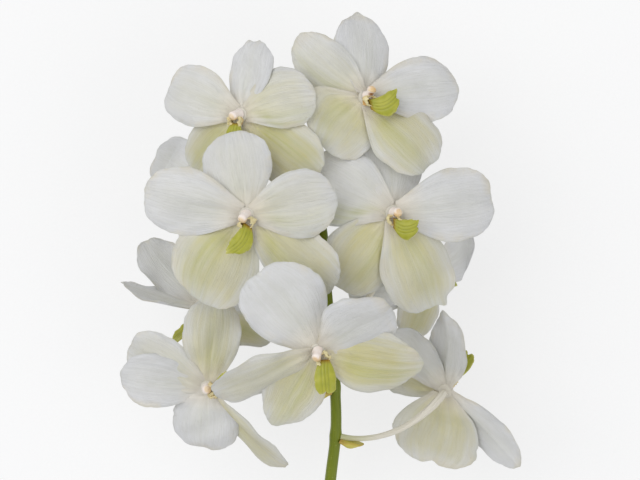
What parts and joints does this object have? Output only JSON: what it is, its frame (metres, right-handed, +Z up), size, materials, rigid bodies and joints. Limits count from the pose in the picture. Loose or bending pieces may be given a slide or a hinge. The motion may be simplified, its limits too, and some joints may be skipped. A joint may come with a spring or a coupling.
{
  "type": "cut vanda orchid",
  "caption": "Cut vanda orchid spray lying on a surface: open white blooms with yellow-green lips on slim pedicels along one green stem with a plain cut end.",
  "frame": {"origin": "on the surface that the spray lies on, under the middle of its bounding box", "axes": "+Z up from the surface and towards the faces of most blooms, +Y along the stem from its cut end to its top, +X to the right as seen from above with the top away from the viewer"},
  "size_m": [0.1813, 0.3195, 0.1139],
  "materials": {
    "tepal_white": "satin",
    "column_pink": "satin",
    "lip_green": "satin",
    "pedicel_cream": "satin",
    "stem_green": "satin",
    "bract_ochre": "satin"
  },
  "bodies": {
    "root": {"stem": "stem_green", "bloom_01_tepals": "tepal_white", "bloom_01_column": "column_pink", "bloom_01_lip": "lip_green", "bloom_01_pedicel": "pedicel_cream", "bloom_02_tepals": "tepal_white", "bloom_02_column": "column_pink", "bloom_02_lip": "lip_green", "bloom_02_pedicel": "pedicel_cream", "bloom_03_tepals": "tepal_white", "bloom_03_column": "column_pink", "bloom_03_lip": "lip_green", "bloom_03_pedicel": "pedicel_cream", "bloom_04_tepals": "tepal_white", "bloom_04_column": "column_pink", "bloom_04_lip": "lip_green", "bloom_04_pedicel": "pedicel_cream", "bloom_05_tepals": "tepal_white", "bloom_05_column": "column_pink", "bloom_05_lip": "lip_green", "bloom_05_pedicel": "pedicel_cream", "bloom_06_tepals": "tepal_white", "bloom_06_column": "column_pink", "bloom_06_lip": "lip_green", "bloom_06_pedicel": "pedicel_cream", "bloom_07_tepals": "tepal_white", "bloom_07_column": "column_pink", "bloom_07_lip": "lip_green", "bloom_07_pedicel": "pedicel_cream", "bloom_08_tepals": "tepal_white", "bloom_08_column": "column_pink", "bloom_08_lip": "lip_green", "bloom_08_pedicel": "pedicel_cream", "bloom_09_tepals": "tepal_white", "bloom_09_column": "column_pink", "bloom_09_lip": "lip_green", "bloom_09_pedicel": "pedicel_cream", "bloom_10_tepals": "tepal_white", "bloom_10_column": "column_pink", "bloom_10_lip": "lip_green", "bloom_10_pedicel": "pedicel_cream", "bract_01": "bract_ochre", "bract_02": "bract_ochre", "bract_03": "bract_ochre", "bract_04": "bract_ochre", "bract_05": "bract_ochre", "bract_06": "bract_ochre", "bract_07": "bract_ochre", "bract_08": "bract_ochre", "bract_09": "bract_ochre", "bract_10": "bract_ochre"}
  },
  "joints": []
}
